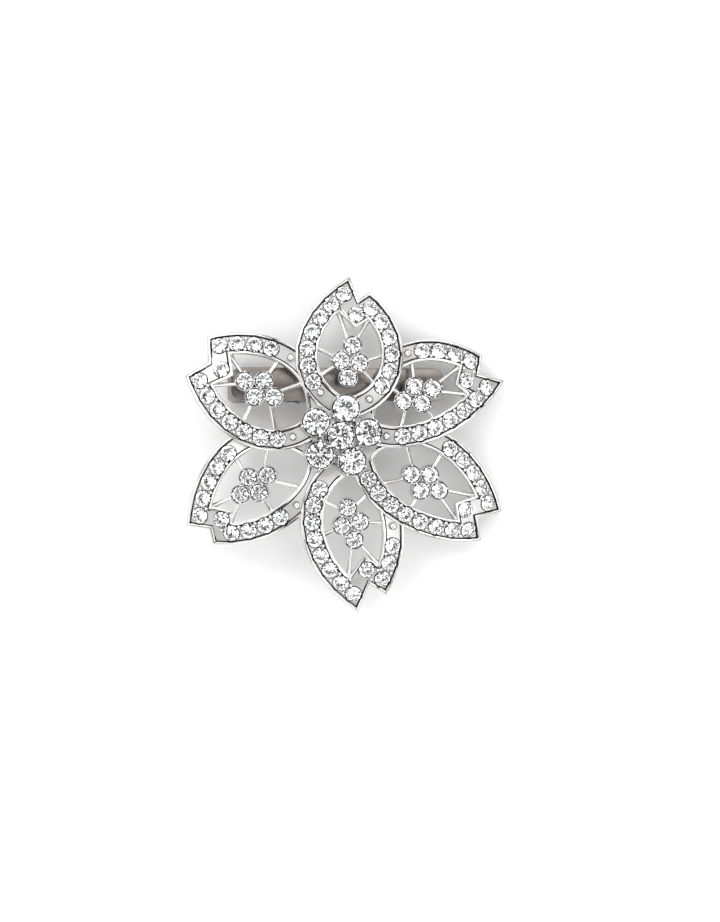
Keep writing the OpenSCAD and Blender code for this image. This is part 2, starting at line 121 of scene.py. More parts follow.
class ClipSizes(bpy.types.PropertyGroup):
    """The clip's sizes, in millimetres, as the flower's frame has them."""

    length: length("Length", "Length of the clip", 32)
    width: length("Width", "Width of the clip", 5)
    line: length("Line", "Distance from the flower's centre to the clip's centre line", 7.9)
    drop: length("Drop", "Depth of the clip's flat top below the flower's centre", 3.3)
    lever: length("Lever", "Distance from the clip's rear end to its hinge", 9.5)
    pin_drop: length("Pin drop", "Drop from the clip's flat top to the hinge pin", 2.5)
    pin: length("Pin", "Diameter of the hinge pin", 1.5)
    steel: length("Steel", "Thickness of the clip's steel", 0.6)
    lever_angle: angle("Lever slope", "Slope of the lever", 18)
    wire: length("Wire", "Diameter of the spring's wire", 0.4)
    turns: bpy.props.IntProperty(name="Turns", description="Turns of the spring", default=3, min=1)


class Finishes(bpy.types.PropertyGroup):
    """The finishes' colours."""

    plating: colour("Plating", "Bright plating of the castings", (0.76, 0.75, 0.745))
    # Recess colour: duller unpolished metal, made darker still with painted shade between the rims.
    dull_recess_painted_shade: colour("Recess", "Unpolished metal between the stones", (0.56, 0.55, 0.54))
    # Near-black seat colour: painted shade under the stones' edges, inside the cups and at the feet of the rims.
    seat: colour("Seat", "Dull metal under the stones' edges", (0.03, 0.029, 0.028))
    # Clip steel colour: bright plated steel made dark and brownish, painted shade and painted reflection for the
    # clip in the flower's shadow.
    steel: colour("Clip steel", "Plated spring steel of the clip", (0.30, 0.27, 0.25))
    spring: colour("Spring wire", "Drawn wire of the spring and pin", (0.56, 0.56, 0.58))
    solder: colour("Solder", "Plated solder", (0.70, 0.70, 0.71))
    crystal: colour("Crystal", "Clear glass of the stones", (1.0, 1.0, 1.0))
    foil: colour("Foil", "Silver foil on the stones' backs", (0.98, 0.98, 0.98))
    floor: colour("Floor", "Pale table", (0.96, 0.96, 0.96))


def flower_sizes():
    return bpy.context.scene.hair_clip_flower


def clip_sizes():
    return bpy.context.scene.hair_clip_clip


def finishes():
    return bpy.context.scene.hair_clip_finishes


# ---- The flower's own frame, as it leans on the table ----

def flower_frame():
    """Takes a place in the flower's frame, in millimetres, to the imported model's frame."""
    sizes = clip_sizes()
    mounts = {m["name"]: m for m in frame["record"]["mounts"]}
    hinge = frame["joints"][0]
    x = Vector(mounts["jaw_bite"]["axis"])
    y = Vector(hinge["axis"])
    z = x.cross(y)
    turn = Matrix((x, y, z)).transposed().to_4x4()
    pin = Vector((sizes.lever - sizes.length / 2, sizes.line, -sizes.drop - sizes.pin_drop))
    place = Vector(hinge["pos_m"]) - turn @ (pin * MM)
    return Matrix.Translation(place) @ turn @ Matrix.Scale(MM, 4)


# ---- Petals: plan and dome ----

# Each petal's name and direction, its shares of the reach, of the half width on its long and
# short sides, and of its points' distance, step and notch, the side that its long point is on,
# its number of lift steps, and the reach and side shift of its cluster
PETALS = (
    ("top", 82, 0.925, 1.05, 1, 0.67, 1.15, 1.15, 1, 4, 11.2, 0),
    ("upper_right", 24, 1.03, 0.77, 1.12, 1, 1, 1.15, -1, 3, 13.3, -0.9),
    ("lower_right", -29.5, 1.05, 1.06, 0.85, 1.12, 0.4, 1, 1, 2, 14.6, 0.4),
    ("bottom", -78, 1.01, 1.06, 0.85, 0.95, 1, 1.25, -1, 1, 13.1, 1),
    ("lower_left", 215.5, 1, 1.18, 0.8, 0.95, 0.95, 0.8, -1, 0, 14.6, 1.5),
    ("upper_left", 150.5, 0.935, 1, 1.02, 1.4, 0, 0.65, 1, 3, 13.9, -0.2),
)
ROOT_U = 3
ROOT_V = 1.9
NOTCH_SLOPE = 1.3
OPENING_GAP = 0.5
CURVE_STEPS = 90


def unit(v):
    return v / np.linalg.norm(v)


def resample(path, count):
    """count points spaced evenly along a path, from its first point to its last."""
    path = np.array(path, float)
    steps = np.linalg.norm(np.diff(path, axis=0), axis=1)
    sums = np.concatenate([[0], np.cumsum(steps)])
    at = np.linspace(0, sums[-1], count)
    return np.stack([np.interp(at, sums, path[:, i]) for i in range(path.shape[1])], axis=1)


class Petal:
    """One petal's plan and dome, in the flower's frame, in millimetres."""

    def __init__(self, row, sizes):
        self.name, self.angle, reach, belly_long, belly_short, spread, step, notch = row[:8]
        self.long_side, self.steps, cluster_u, cluster_v = row[8:]
        self.reach = sizes.reach * reach
        self.belly = {1: sizes.half_width * belly_long, -1: sizes.half_width * belly_short}
        self.spread = sizes.point_v * spread
        self.step = sizes.point_step * step
        self.notch_u = self.reach - sizes.notch * notch
        self.lift = sizes.lift * self.steps
        self.cluster = (cluster_u, cluster_v)
        self.dome_r = sizes.dome_r
        self.band = sizes.stone + 2 * sizes.rim
        self.crest = self.to_flower((sizes.crest_u, 0))

    def to_flower(self, p):
        """A point of the petal's plan, turned to the petal's direction."""
        a = math.radians(self.angle)
        u, v = p[0], self.long_side * p[1]
        return np.array((u * math.cos(a) - v * math.sin(a), u * math.sin(a) + v * math.cos(a)))

    def tip(self, side):
        return np.array((self.reach - (0 if side > 0 else self.step), side * self.spread))

    def notch(self, off):
        return np.array((self.notch_u - off * NOTCH_SLOPE, 0.0))

    def side(self, side, off):
        """One side of the outline, from the root to its point, moved in by off."""
        span = self.reach - ROOT_U
        belly = side * self.belly[side]
        c = np.array((
            (ROOT_U, side * ROOT_V),
            (ROOT_U + 0.17 * span, 1.22 * belly),
            (ROOT_U + 0.66 * span, 1.27 * belly),
            self.tip(side),
        ))
        raw = []
        for i in range(CURVE_STEPS + 1):
            t = i / CURVE_STEPS
            w = 1 - t
            p = w**3 * c[0] + 3 * w * w * t * c[1] + 3 * w * t * t * c[2] + t**3 * c[3]
            d = w * w * (c[1] - c[0]) + 2 * w * t * (c[2] - c[1]) + t * t * (c[3] - c[2])
            d = unit(d)
            raw.append(p + off * side * np.array((d[1], -d[0])))
        edge = unit(self.notch(0) - self.tip(side))
        normal = side * np.array((edge[1], -edge[0]))
        depths = [(p - self.tip(side)) @ normal for p in raw]
        last = next(i for i, d in enumerate(depths) if d <= off + 1e-6) - 1
        a, b = raw[last], raw[last + 1]
        corner = a + (b - a) * (depths[last] - off) / (depths[last] - depths[last + 1])
        return [p for p in raw[:last + 1] if side * p[1] > OPENING_GAP] + [corner]

    def loop(self, off, along=84, across=8):
        """The closed outline moved in by off, with the same number of points at every off."""
        long_path = resample(self.side(1, off), along)
        short_path = resample(self.side(-1, off), along)[::-1]
        notch = self.notch(off)
        into = resample([long_path[-1], notch], across)[1:]
        out = resample([notch, short_path[0]], across)[1:-1]
        local = np.concatenate([long_path, into, out, short_path])
        points = np.array([self.to_flower(p) for p in local])
        return points if self.long_side > 0 else points[::-1]

    def height(self, p, depth):
        """Height of the face at a plan point of the flower, or of the shell depth below it."""
        d = np.asarray(p, float) - self.crest
        return self.lift - self.dome_r + math.sqrt((self.dome_r - depth) ** 2 - d @ d)

    def at(self, p, depth):
        return Vector((p[0], p[1], self.height(p, depth)))

    def stand(self, p):
        """A matrix that stands a thing on the face at a plan point, square to it."""
        d = np.asarray(p, float) - self.crest
        axis = Vector((d[0], d[1], math.sqrt(self.dome_r**2 - d @ d))).normalized()
        along = Vector(self.to_flower((1, 0)).tolist() + [0])
        across = axis.cross(along).normalized()
        turn = Matrix((across.cross(axis), across, axis)).transposed().to_4x4()
        return Matrix.Translation(self.at(p, 0)) @ turn


def petals():
    sizes = flower_sizes()
    return [Petal(row, sizes) for row in PETALS]


def petals_over(petal, all_petals):
    return [p for p in all_petals if p.steps > petal.steps]


# ---- Mesh helpers ----

def new_mesh(name, points, faces):
    mesh = bpy.data.meshes.new(name)
    mesh.from_pydata([tuple(p) for p in points], [], [tuple(f) for f in faces])
    mesh.update()
    return mesh


def outward(mesh):
    """Turns a closed mesh's faces outwards."""
    bm = bmesh.new()
    bm.from_mesh(mesh)
    bmesh.ops.recalc_face_normals(bm, faces=bm.faces)
    bm.to_mesh(mesh)
    bm.free()
    return mesh


def joined(name, meshes, finish_list=()):
    """One mesh of several, with the finishes given or else the first mesh's."""
    bm = bmesh.new()
    for mesh in meshes:
        bm.from_mesh(mesh)
    result = bpy.data.meshes.new(name)
    bm.to_mesh(result)
    bm.free()
    for m in finish_list or meshes[0].materials:
        result.materials.append(m)
    return result


def tube_of_loops(name, loops, closed_across=True):
    """Skins a list of equal closed loops, the last of which joins the first, or has its ends capped."""
    rows, count = len(loops), len(loops[0])
    points = [p for loop in loops for p in loop]
    faces = []
    for r in range(rows if closed_across else rows - 1):
        for i in range(count):
            j = (i + 1) % count
            s = (r + 1) % rows
            faces.append((r * count + i, r * count + j, s * count + j, s * count + i))
    if not closed_across:
        faces.append(tuple(range(count - 1, -1, -1)))
        faces.append(tuple((rows - 1) * count + i for i in range(count)))
    return outward(new_mesh(name, points, faces))


def lathe(name, profile, sides=32):
    """Turns a profile of (radius, height), which ends on the axis or closes, round the Z axis."""
    points, faces, rings = [], [], []
    for r, z in profile:
        if r < 1e-6:
            rings.append([len(points)])
            points.append((0, 0, z))
            continue
        rings.append(list(range(len(points), len(points) + sides)))
        for i in range(sides):
            a = 2 * math.pi * i / sides
            points.append((r * math.cos(a), r * math.sin(a), z))
    pairs = list(zip(rings, rings[1:]))
    if len(rings[0]) > 1 and len(rings[-1]) > 1:
        pairs.append((rings[-1], rings[0]))
    for a, b in pairs:
        for i in range(sides):
            j = (i + 1) % sides
            quad = [a[i % len(a)], a[j % len(a)], b[j % len(b)], b[i % len(b)]]
            faces.append(tuple(dict.fromkeys(quad)))
    return outward(new_mesh(name, points, faces))


def prism(name, outline, low, high):
    """A straight prism on a closed plan outline."""
    count = len(outline)
    points = [(p[0], p[1], low) for p in outline] + [(p[0], p[1], high) for p in outline]
    faces = [(i, (i + 1) % count, (i + 1) % count + count, i + count) for i in range(count)]
    faces.append(tuple(range(count - 1, -1, -1)))
    faces.append(tuple(range(count, 2 * count)))
    return outward(new_mesh(name, points, faces))


def placed(mesh, matrix):
    copy = mesh.copy()
    copy.transform(matrix)
    return copy


def scene_object(name, mesh):
    obj = bpy.data.objects.new(name, mesh)
    bpy.context.scene.collection.objects.link(obj)
    return obj


def applied(obj, name):
    """The object's evaluated mesh as a plain mesh of that name; the object goes."""
    bpy.context.view_layer.update()
    deps = bpy.context.evaluated_depsgraph_get()
    mesh = bpy.data.meshes.new_from_object(obj.evaluated_get(deps), depsgraph=deps)
    mesh.name = name
    if len(mesh.materials) > 1 and mesh.materials[0] is None:
        mesh.materials.pop(index=0)
    bpy.data.objects.remove(obj)
    return mesh


def carved(mesh, cutters):
    """The mesh less the cutters, each a closed mesh."""
    body = scene_object("carving", mesh)
    tools = []
    for i, cutter in enumerate(cutters):
        tool = scene_object(f"cutter_{i}", cutter)
        tools.append(tool)
        cut = body.modifiers.new(f"cut_{i}", "BOOLEAN")
        cut.operation = "DIFFERENCE"
        cut.solver = "MANIFOLD"
        cut.object = tool
    result = applied(body, mesh.name)
    for tool in tools:
        bpy.data.objects.remove(tool)
    return result


def smoothed(mesh, angle=32):
    """Shades a mesh smooth, with its edges over angle kept sharp."""
    mesh.polygons.foreach_set("use_smooth", [True] * len(mesh.polygons))
    mesh.set_sharp_from_angle(angle=math.radians(angle))
    return mesh


def stands_for(name, mesh, node, body=FLOWER_BODY):
    """Makes a mesh in place a piece that rides on a body and stands for a CAD node."""
    obj = scene_object(name, mesh)
    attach(obj, body)
    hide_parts(node)


def finished(name, mesh, node):
    """Puts a mesh, made in the flower's frame, in place as a piece that stands for a CAD node."""
    mesh.transform(flower_frame())
    mesh.update()
    stands_for(name, mesh, node)


# ---- Node trees ----

class Value:
    """A socket of a node tree, with which arithmetic can be written."""

    def __init__(self, tree, socket):
        self.tree = tree
        self.socket = socket

    def _math(self, operation, other, swapped=False):
        pair = (other, self) if swapped else (self, other)
        return self.tree.add("ShaderNodeMath", {"operation": operation}, {0: pair[0], 1: pair[1]})

    def __add__(self, other):
        return self._math("ADD", other)

    def __radd__(self, other):
        return self._math("ADD", other, True)

    def __sub__(self, other):
        return self._math("SUBTRACT", other)

    def __rsub__(self, other):
        return self._math("SUBTRACT", other, True)

    def __mul__(self, other):
        return self._math("MULTIPLY", other)

    def __rmul__(self, other):
        return self._math("MULTIPLY", other, True)

    def highest(self, other):
        return self._math("MAXIMUM", other)

    def clamped(self):
        return self.tree.add("ShaderNodeClamp", {}, {"Value": self})

    def between(self, low, high):
        """0 at low and 1 at high, smoothly."""
        settings = {"interpolation_type": "SMOOTHSTEP"}
        return self.tree.add(
            "ShaderNodeMapRange", settings, {"Value": self, "From Min": low, "From Max": high}
        )


class Tree:
    """A node tree that nodes are added to."""

    def __init__(self, tree):
        self.tree = tree

    def add(self, kind, settings=None, inputs=None, output=0):
        """Adds a node of a kind, sets its settings, then its sockets, and returns one of its outputs."""
        node = self.node(kind, settings, inputs)
        return Value(self, node.outputs[output])

    def node(self, kind, settings=None, inputs=None):
        node = self.tree.nodes.new(kind)
        for name, value in (settings or {}).items():
            setattr(node, name, value)
        for name, value in (inputs or {}).items():
            if isinstance(value, Value):
                self.tree.links.new(value.socket, node.inputs[name])
            else:
                node.inputs[name].default_value = value
        return node

    def blend(self, factor, a, b):
        """A colour between a and b."""
        settings = {"data_type": "RGBA", "clamp_factor": True}
        return self.add("ShaderNodeMix", settings, {0: factor, 6: a, 7: b}, 2)


# ---- Finishes ----

def rgba(c, scale=1.0):
    return (c[0] * scale, c[1] * scale, c[2] * scale, 1)


def material(name):
    m = bpy.data.materials.get(name)
    if m:
        return m, None, None
    m = bpy.data.materials.new(name)
    m.use_nodes = True
    m.node_tree.nodes.clear()
    tree = Tree(m.node_tree)
    shader = tree.node("ShaderNodeBsdfPrincipled")
    out = tree.node("ShaderNodeOutputMaterial")
    m.node_tree.links.new(shader.outputs[0], out.inputs["Surface"])
    return m, tree, shader


def plug(tree, shader, name, value):
    if isinstance(value, Value):
        tree.tree.links.new(value.socket, shader.inputs[name])
    else:
        shader.inputs[name].default_value = value


def object_place(tree):
    return tree.add("ShaderNodeTexCoord", output="Object")


def noise(tree, place, size_mm, detail=3, rough=0.55):
    """Noise whose grains are about size_mm across."""
    inputs = {"Vector": place, "Scale": 1 / (size_mm * MM), "Detail": detail, "Roughness": rough}
    return tree.add("ShaderNodeTexNoise", {}, inputs)


def metal(name, tone, rough, wear, ripple_mm, grain_mm=0.35):
    """Polished or drawn metal: a tone that drifts a little, uneven polish and a fine ripple."""
    m, tree, shader = material(name)
    if tree is None:
        return m
    place = object_place(tree)
    drift = noise(tree, place, 4.0, 2).between(0.35, 0.65)
    grain = noise(tree, place, grain_mm, 4)
    plug(tree, shader, "Base Color", tree.blend(drift, rgba(tone, 0.94), rgba(tone)))
    plug(tree, shader, "Roughness", (rough + grain * wear + drift * (wear * 0.4)).clamped())
    plug(tree, shader, "Metallic", 1.0)
    bump = tree.add(
        "ShaderNodeBump", {}, {"Strength": 0.35, "Distance": ripple_mm * MM, "Height": grain}
    )
    plug(tree, shader, "Normal", bump)
    return m


def plating():
    return metal("bright_plating", finishes().plating, 0.06, 0.12, 0.02)


# Duller unpolished metal for the channels, darkened further with painted shade.
def dull_recess_painted_shade():
    return metal("cast_recess", finishes().dull_recess_painted_shade, 0.22, 0.25, 0.05, 0.2)


# Near-black metal that stands for painted shade under the stones and in the channels' corners.
def seat_painted_shade():
    return metal("stone_seat", finishes().seat, 0.45, 0.25, 0.05, 0.2)


# Plated clip steel whose dark brownish tone is painted shade and painted reflection.
def clip_steel_painted_shade():
    return metal("stamped_steel", finishes().steel, 0.14, 0.16, 0.01, 0.6)


def spring_wire():
    return metal("drawn_wire", finishes().spring, 0.22, 0.15, 0.01, 0.15)


def solder():
    return metal("plated_solder", finishes().solder, 0.25, 0.25, 0.06, 0.5)


def crystal():
    """Clear glass, with a faint tint of its own in each stone."""
    m, tree, shader = material("clear_crystal")
    if tree is None:
        return m
    tint = tree.add("ShaderNodeAttribute", {"attribute_name": "tint"}, output="Fac")
    glass = finishes().crystal
    plug(tree, shader, "Base Color", tree.blend(tint, rgba(glass), (0.97, 0.98, 1.0, 1)))
    plug(tree, shader, "Roughness", 0.0)
    plug(tree, shader, "IOR", 1.56)
    plug(tree, shader, "Transmission Weight", 1.0)
    return m


def foil():
    """Silver foil behind a stone's facets."""
    m, tree, shader = material("stone_foil")
    if tree is None:
        return m
    mottle = noise(tree, object_place(tree), 0.6, 2).between(0.3, 0.7)
    tone = finishes().foil
    plug(tree, shader, "Base Color", tree.blend(mottle, rgba(tone, 0.93), rgba(tone)))
    plug(tree, shader, "Roughness", 0.03 + mottle * 0.03)
    plug(tree, shader, "Metallic", 1.0)
    return m


# ---- Stones ----

GIRDLE_SHARE = 0.033
STAR_R = 0.38
BACK_R = 0.14
STONE_FIT = 0.985


def stone_mesh():
    """A brilliant of diameter 1 with its girdle's lower edge at z = 0. Its back faces are foil."""
    sizes = flower_sizes()
    high, deep, table = sizes.crown, sizes.pavilion, sizes.table / 2
    girdle = GIRDLE_SHARE
    flat = math.cos(math.pi / 8)
    star_z = high - (STAR_R * flat - table) / (0.5 - table) * (high - girdle)
    back_z = -deep + BACK_R * flat / 0.5 * deep

    def ring(radius, z, count, turn=0.0):
        start = len(points)
        for i in range(count):
            a = 2 * math.pi * (i + turn) / count
            points.append((radius * math.cos(a), radius * math.sin(a), z))
        return [start + i for i in range(count)]

    points = []
    top = ring(table, high, 8)
    mid = ring(STAR_R, star_z, 8, 0.5)
    edge = ring(0.5, girdle, 16)
    low = ring(0.5, 0.0, 16)
    back = ring(BACK_R, back_z, 8, 0.5)
    point = len(points)
    points.append((0, 0, -deep))
    crown, foiled = [tuple(top)], []
    for i in range(8):
        j = (i + 1) % 8
        h = (i - 1) % 8
        a, b, c = 2 * i, 2 * i + 1, (2 * i + 2) % 16
        crown += [(top[i], mid[i], top[j]), (top[i], mid[h], edge[a], mid[i])]
        crown += [(mid[i], edge[a], edge[b]), (mid[i], edge[b], edge[c])]
        foiled += [(edge[a], low[a], low[b], edge[b]), (edge[b], low[b], low[c], edge[c])]
        foiled += [(back[i], low[b], low[a]), (back[i], low[c], low[b])]
        foiled += [(point, back[i], low[a], back[h])]
    mesh = outward(new_mesh("stone", points, crown + foiled))
    mark = mesh.attributes.new("foiled", "BOOLEAN", "FACE")
    mark.data.foreach_set("value", [False] * len(crown) + [True] * len(foiled))
    return mesh


def loose_parts(node):
    """The corners of each loose part of a CAD node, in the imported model's frame."""
    bm = bmesh.new()
    bm.from_mesh(frame["nodes"][node].data)
    bmesh.ops.remove_doubles(bm, verts=bm.verts, dist=1e-7)
    left, parts = set(bm.verts), []
    while left:
        group, todo = [], [left.pop()]
        while todo:
            v = todo.pop()
            group.append(tuple(v.co))
            for e in v.link_edges:
                other = e.other_vert(v)
                if other in left:
                    left.discard(other)
                    todo.append(other)
        parts.append(np.array(group))
    bm.free()
    return parts


def stone_places(node):
    """Where each stone of a CAD node stands: its girdle's centre, its axis and its diameter, in metres."""
    places = []
    for part in loose_parts(node):
        centre = part.mean(0)
        _, vectors = np.linalg.eigh(np.cov((part - centre).T))
        axis = vectors[:, 0]
        up = (part - centre) @ axis
        if abs(up.min()) < abs(up.max()):
            axis, up = -axis, -up
        point = part[np.argmin(up)]
        across = part - point
        radius = np.linalg.norm(across - np.outer(across @ axis, axis), axis=1).max()
        size = 2 * radius
        places.append((point + axis * flower_sizes().pavilion * size, axis, size))
    places.sort(key=lambda p: tuple(np.round(p[0], 5)))
    return places


def points_mesh(name, places, rng):
    """A mesh of bare points that carry each stone's turn, size and tint."""
    mesh = new_mesh(name, [p for p, _, _ in places], [])
    turns, sizes, tints = [], [], []
    for _, axis, size in places:
        q = Vector((0, 0, 1)).rotation_difference(Vector(axis))
        spin = Matrix.Rotation(rng.uniform(0, math.pi / 4), 4, "Z").to_quaternion()
        turns += list(q @ spin)
        sizes.append(size)
        tints.append(rng.random())
    mesh.attributes.new("turn", "QUATERNION", "POINT").data.foreach_set("value", turns)
    mesh.attributes.new("size", "FLOAT", "POINT").data.foreach_set("value", sizes)
    mesh.attributes.new("tint", "FLOAT", "POINT").data.foreach_set("value", tints)
    return mesh


def geometry_tree(name, inputs):
    """An empty geometry tree with a Geometry input and output and more inputs of (name, socket type)."""
    group = bpy.data.node_groups.new(name, "GeometryNodeTree")
    group.interface.new_socket("Geometry", in_out="INPUT", socket_type="NodeSocketGeometry")
    for label, kind in inputs:
        group.interface.new_socket(label, in_out="INPUT", socket_type=kind)
    group.interface.new_socket("Geometry", in_out="OUTPUT", socket_type="NodeSocketGeometry")
    tree = Tree(group)
    entry = tree.node("NodeGroupInput")
    sources = {s.name: Value(tree, s) for s in entry.outputs if s.name}
    return group, tree, sources


def end_tree(tree, value):
    out = tree.node("NodeGroupOutput")
    tree.tree.links.new(value.socket, out.inputs["Geometry"])


def setting_tree():
    """Sets a pattern piece on every point, turned and sized by the point's own values."""
    name = "set_on_points"
    group = bpy.data.node_groups.get(name)
    if group:
        return group
    inputs = [
        ("Pattern", "NodeSocketObject"),
        ("Scale", "NodeSocketFloat"),
        ("Finish", "NodeSocketMaterial"),
        ("Back finish", "NodeSocketMaterial"),
    ]
    group, tree, source = geometry_tree(name, inputs)
    pattern = tree.add("GeometryNodeObjectInfo", {}, {"Object": source["Pattern"]}, "Geometry")
    turn = tree.add("GeometryNodeInputNamedAttribute", {"data_type": "QUATERNION"}, {"Name": "turn"})
    size = tree.add("GeometryNodeInputNamedAttribute", {"data_type": "FLOAT"}, {"Name": "size"})
    copies = tree.add("GeometryNodeInstanceOnPoints", {}, {
        "Points": source["Geometry"],
        "Instance": pattern,
        "Rotation": turn,
        "Scale": size * source["Scale"],
    })
    solid = tree.add("GeometryNodeRealizeInstances", {}, {"Geometry": copies})
    front = tree.add(
        "GeometryNodeSetMaterial", {}, {"Geometry": solid, "Material": source["Finish"]}
    )
    backs = tree.add("GeometryNodeInputNamedAttribute", {"data_type": "BOOLEAN"}, {"Name": "foiled"})
    both = tree.add("GeometryNodeSetMaterial", {}, {
        "Geometry": front, "Selection": backs, "Material": source["Back finish"],
    })
    end_tree(tree, both)
    return group


def set_inputs(modifier, group, values):
    """Sets a modifier's inputs by their names in the tree."""
    keys = {s.name: s.identifier for s in group.interface.items_tree if s.in_out == "INPUT"}
    for name, value in values.items():
        modifier[keys[name]] = value


def set_on_points(name, points, pattern, scale, finish, back=None):
    """A plain mesh of the pattern set on every point."""
    carrier = scene_object(name, points)
    template = scene_object(f"{name}_pattern", pattern)
    group = setting_tree()
    modifier = carrier.modifiers.new("setting", "NODES")
    modifier.node_group = group
    values = {"Pattern": template, "Scale": scale, "Finish": finish, "Back finish": back or finish}
    set_inputs(modifier, group, values)
    mesh = applied(carrier, name)
    bpy.data.objects.remove(template)
    return mesh


def standing_stones(name, node, rng):
    """All the stones of one CAD node."""
    points = points_mesh(name, stone_places(node), rng)
    mesh = set_on_points(name, points, stone_mesh(), STONE_FIT, crystal(), foil())
    stands_for(f"{name}_cut", mesh, node)


# ---- Petal frames ----

SEAT_GAP = 0.2
LAP_GAP = 0.03
# Width of the band of painted shade at the foot of each rim wall.
CORNER_SHADE_W = 0.15


def outset(loop, gap):
    """A closed plan loop, drawn anticlockwise, grown by a small gap."""
    ahead = np.roll(loop, -1, axis=0) - np.roll(loop, 1, axis=0)
    ahead /= np.linalg.norm(ahead, axis=1)[:, None]
    return loop + gap * np.stack([ahead[:, 1], -ahead[:, 0]], axis=1)


def rim_profile(band, rim, depth, thick):
    """The frame's section as (distance in, depth): two rounded rims with the channel between."""
    edge = [
        (0.0, 0.42), (0.0, 0.2), (0.015, 0.1), (0.06, 0.03), (0.13, 0.0), (rim / 2, -0.008),
        (rim - 0.13, 0.0), (rim - 0.05, 0.03), (rim - 0.01, 0.1), (rim, 0.2), (rim + 0.01, depth),
    ]
    floor = [(rim + 0.2, depth + 0.03), (band / 2, depth + 0.03), (band - rim - 0.2, depth + 0.03)]
    mirror = [(band - off, d) for off, d in reversed(edge)]
    base = [(band, thick - 0.25), (band - 0.07, thick - 0.07), (band - 0.25, thick)]
    under = [(band / 2, thick)] + [(band - off, d) for off, d in reversed(base)]
    return edge + floor + mirror + base + under


def seat_mesh(size):
    """The space cut for a stone and its setting tool."""
    sizes = flower_sizes()
    r = size / 2 + SEAT_GAP
    deep = sizes.pavilion * size + SEAT_GAP * 1.5
    return lathe("seat", [(0, -deep), (r, 0), (r, size * 0.6), (0, size * 0.6)], 28)


def petal_frame_mesh(petal, all_petals, stones):
    sizes = flower_sizes()
    profile = rim_profile(petal.band, sizes.rim, sizes.channel, sizes.thick)
    loops = [[petal.at(p, depth) for p in petal.loop(off)] for off, depth in profile]
    mesh = tube_of_loops(f"petal_frame_{petal.name}", loops)
    seats = [[], []]
    seat = seat_mesh(sizes.stone)
    for i, place in enumerate(stones):
        seats[i % 2].append(placed(seat, place))
    cutters = [joined("seats", group) for group in seats if group]
    for other in petals_over(petal, all_petals):
        cutters.append(prism(f"trim_{other.name}", outset(other.loop(0), LAP_GAP), -12, 8))
    cutters += centre_cups_cutter()
    return carved(mesh, cutters)


def in_flower(places):
    """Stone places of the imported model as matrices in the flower's frame."""
    back = flower_frame().inverted()
    turn = back.to_3x3().normalized()
    result = []
    for point, axis, _ in places:
        spot = back @ Vector(point)
        up = (turn @ Vector(axis)).normalized()
        q = Vector((0, 0, 1)).rotation_difference(up)
        result.append(Matrix.Translation(spot) @ q.to_matrix().to_4x4())
    return result


def channel_faces(mesh, petal):
    """Marks the faces between the rims, which the polishing wheel doesn't reach, for the darker recess finish
    (duller metal with painted shade), and the feet of the rim walls and the deepest faces for the near-black seat
    finish (painted shade).
    """
    sizes = flower_sizes()
    count = len(mesh.polygons)
    centres = np.zeros(count * 3)
    mesh.polygons.foreach_get("center", centres)
    centres = centres.reshape(-1, 3)
    outer = petal.loop(0)
    ahead = np.roll(outer, -1, axis=0) - outer
    away = np.full(count, 1e9)
    for a, d in zip(outer, ahead):
        along = np.clip(((centres[:, :2] - a) @ d) / max(d @ d, 1e-12), 0, 1)
        away = np.minimum(away, np.linalg.norm(centres[:, :2] - a - along[:, None] * d, axis=1))
    dome = np.array((petal.crest[0], petal.crest[1], petal.lift - petal.dome_r))
    depth = petal.dome_r - np.linalg.norm(centres - dome, axis=1)
    inner = (away > sizes.rim * 0.75) & (away < petal.band - sizes.rim * 0.75)
    # Index 1, the recess finish: duller metal with painted shade in the channel.
    marks = (inner & (depth > 0.12) & (depth < sizes.thick - 0.1)).astype(np.int32)
    # Index 2, the near-black seat finish: painted shade at the feet of the rim walls and on the deepest faces.
    corner = (away < sizes.rim + CORNER_SHADE_W) | (away > petal.band - sizes.rim - CORNER_SHADE_W)
    deep = (depth > sizes.channel + 0.08) | (corner & (depth > sizes.channel * 0.6))
    marks[inner & deep & (depth < sizes.thick - 0.1)] = 2
    mesh.polygons.foreach_set("material_index", marks)


class HAIRCLIP_OT_petal_frames(bpy.types.Operator):
    """The six plated petal frames, with a seat for every stone, and grains and beads between them"""

    bl_idname = "hairclip.petal_frames"
    bl_label = "Petal frames"

    def execute(self, context):
        all_petals = petals()
        for petal in all_petals:
            stones = in_flower(stone_places(f"border_stones_{petal.name}"))
            mesh = petal_frame_mesh(petal, all_petals, stones)
            mesh.materials.clear()
            mesh.materials.append(plating())
            mesh.materials.append(dull_recess_painted_shade())
            mesh.materials.append(seat_painted_shade())
            channel_faces(mesh, petal)
            smoothed(mesh, 30)
            parts = [mesh]
            spots = grain_places(petal, all_petals, stones)
            beads = bead_places(petal, all_petals, stones)
            for places, scale in ((spots, 1), (beads, BEAD_R / GRAIN_R)):
                if places:
                    bare = spots_mesh("grains", places)
                    grains = set_on_points("grains", bare, grain_mesh(), scale, plating())
                    parts.append(smoothed(grains, 50))
            node = f"petal_frame_{petal.name}"
            whole = joined(node, parts)
            finished(f"{node}_cast", whole, node)
        return {"FINISHED"}


# ---- Grains: the small beads of metal that hold the border stones ----

GIRDLE_DROP = 0.4
GRAIN_R = 0.29
GRAIN_SIDE = 0.86
GRAIN_SINK = 0.12
BEAD_R = 0.62


def grain_mesh():
    """A round-topped bead on a short neck, with its middle at z = 0."""
    r = GRAIN_R
    dome = [(0, r), (0.55 * r, 0.83 * r), (0.92 * r, 0.4 * r), (r, 0)]
    profile = dome + [(0.85 * r, -1.6 * r), (0, -1.6 * r)]
    return lathe("grain", profile, 10)


